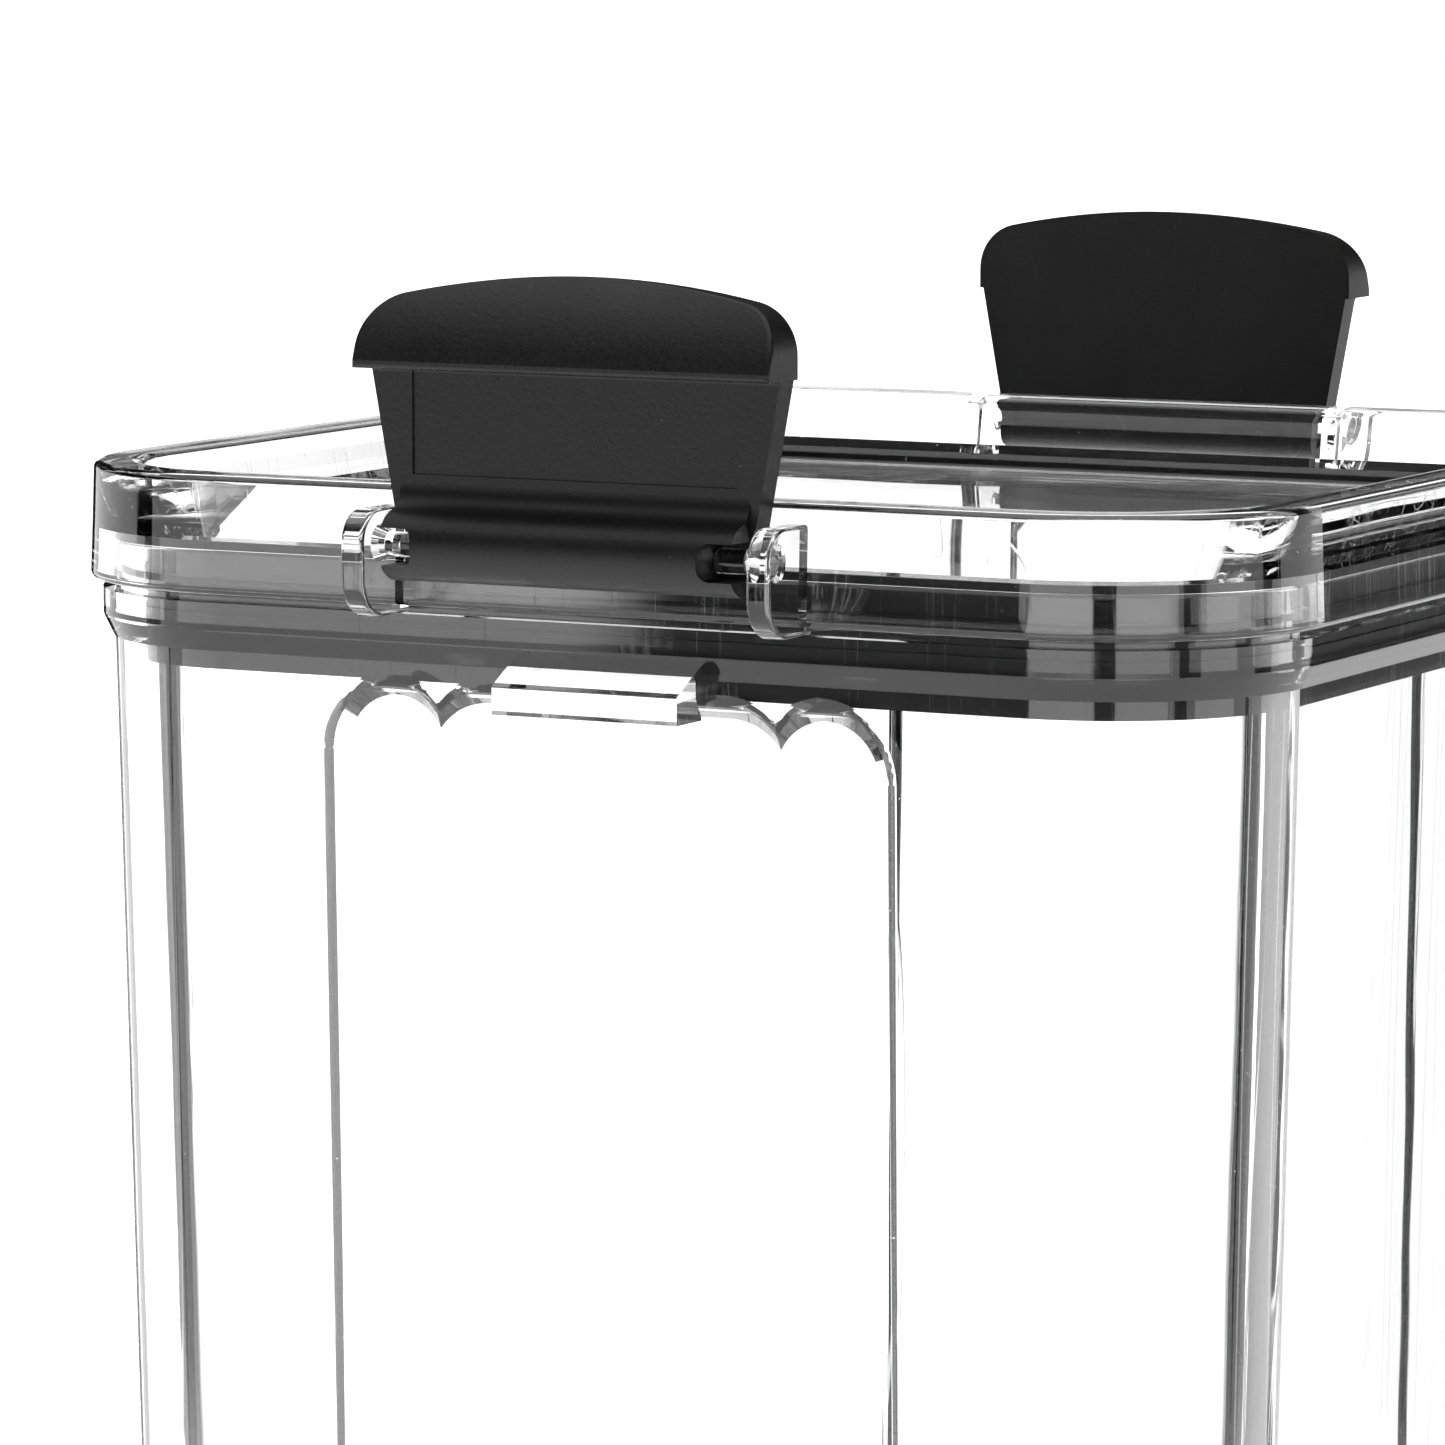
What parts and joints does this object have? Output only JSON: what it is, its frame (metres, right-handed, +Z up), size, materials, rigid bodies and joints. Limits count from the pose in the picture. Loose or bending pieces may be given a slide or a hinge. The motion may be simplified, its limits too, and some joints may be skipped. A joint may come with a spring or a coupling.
{
  "type": "lidded food canister",
  "caption": "Square clear canister with a gasketed lid that lifts off and flip latches that hook under catches on the jar.",
  "frame": {"origin": "middle of the foot, on the surface that the jar stands on", "axes": "+Z up; the front latch is on the -Y side and the back latch on the +Y side; +X runs along the hinge axes"},
  "size_m": [0.1308, 0.1462, 0.1854],
  "materials": {
    "clear_jar": "clear polished",
    "clear_lid": "clear polished",
    "black_silicone": "smooth satin",
    "black_latch": "fine matt texture"
  },
  "bodies": {
    "jar": {"jar_body": "clear_jar"},
    "lid": {"lid_shell": "clear_lid", "lid_gasket": "black_silicone"},
    "front_latch": {"front_latch": "black_latch"},
    "back_latch": {"back_latch": "black_latch"}
  },
  "joints": [
    {"name": "lid_lift", "type": "slide", "parent": "jar", "child": "lid", "axis": [0, 0, 1], "range_m": [0, 0.08]},
    {"name": "front_latch_hinge", "type": "hinge", "parent": "lid", "child": "front_latch", "pos_m": [0, -0.0697, 0.1598], "axis": [1, 0, 0], "range_deg": [0, 186]},
    {"name": "back_latch_hinge", "type": "hinge", "parent": "lid", "child": "back_latch", "pos_m": [0, 0.0697, 0.1598], "axis": [-1, 0, 0], "range_deg": [0, 186]}
  ]
}
